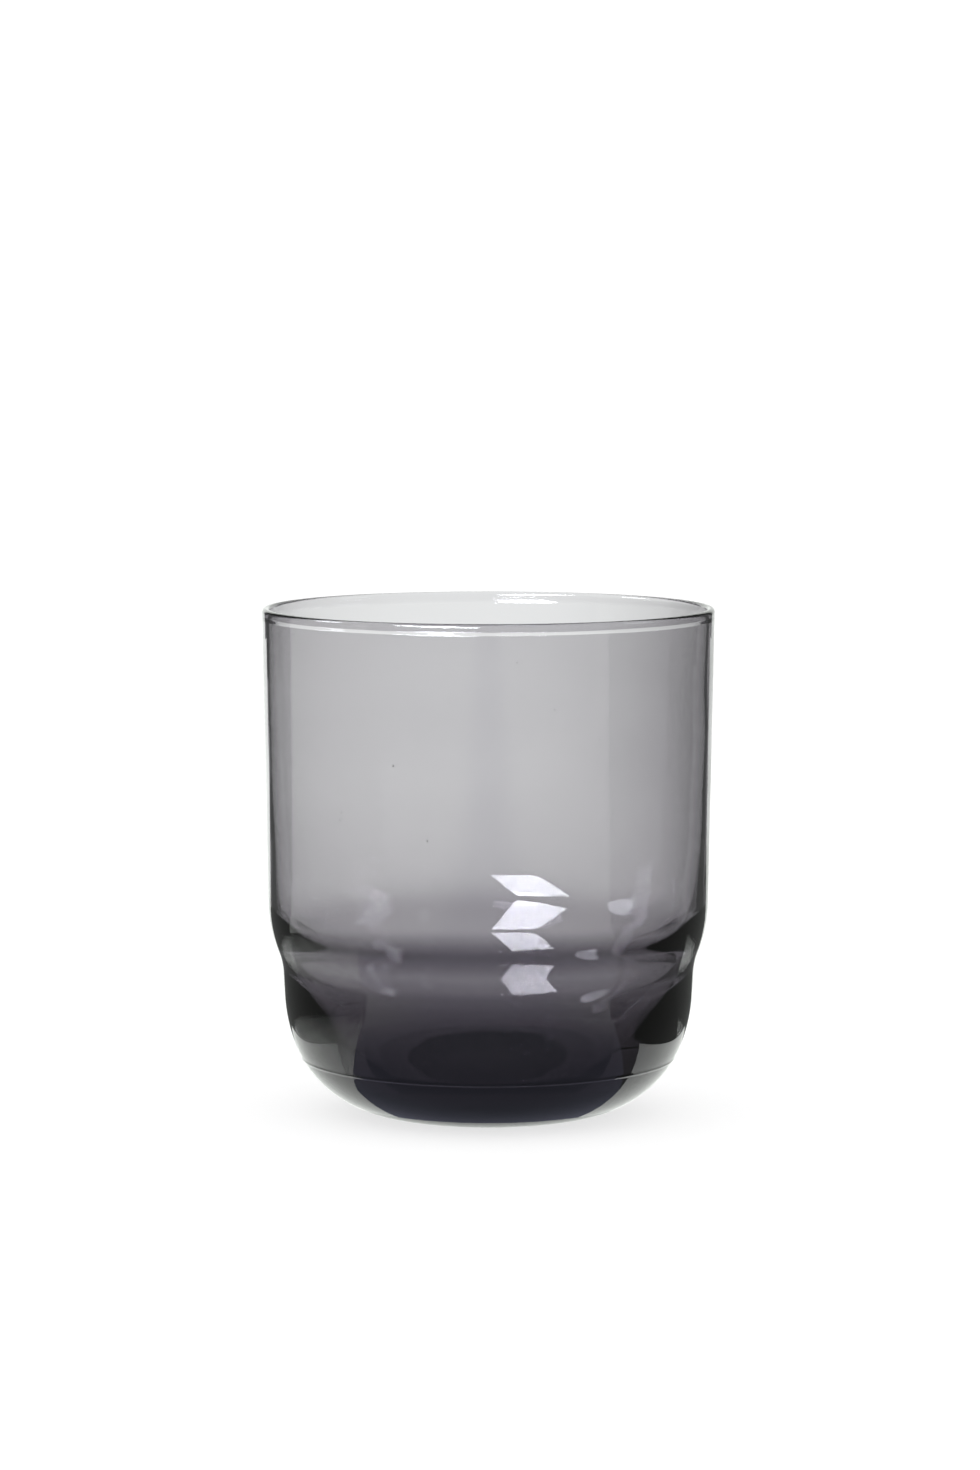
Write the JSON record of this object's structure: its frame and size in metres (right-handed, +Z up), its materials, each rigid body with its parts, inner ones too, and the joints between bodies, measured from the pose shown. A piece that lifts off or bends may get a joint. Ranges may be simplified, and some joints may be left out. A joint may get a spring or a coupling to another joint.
{
  "type": "whiskey tumbler",
  "caption": "Tall stackable drinking tumbler of smoke-tinted blown glass, with a thin rim, a rounded shoulder and a narrower thick-based bowl.",
  "frame": {"origin": "centre of the foot, on the table", "axes": "+Z up along the glass's axis of revolution; every horizontal direction is alike"},
  "size_m": [0.08, 0.08, 0.09],
  "materials": {
    "smoke_glass": "clear, fire polished, smoke tint"
  },
  "bodies": {
    "root": {"glass_body": "smoke_glass"}
  },
  "joints": []
}
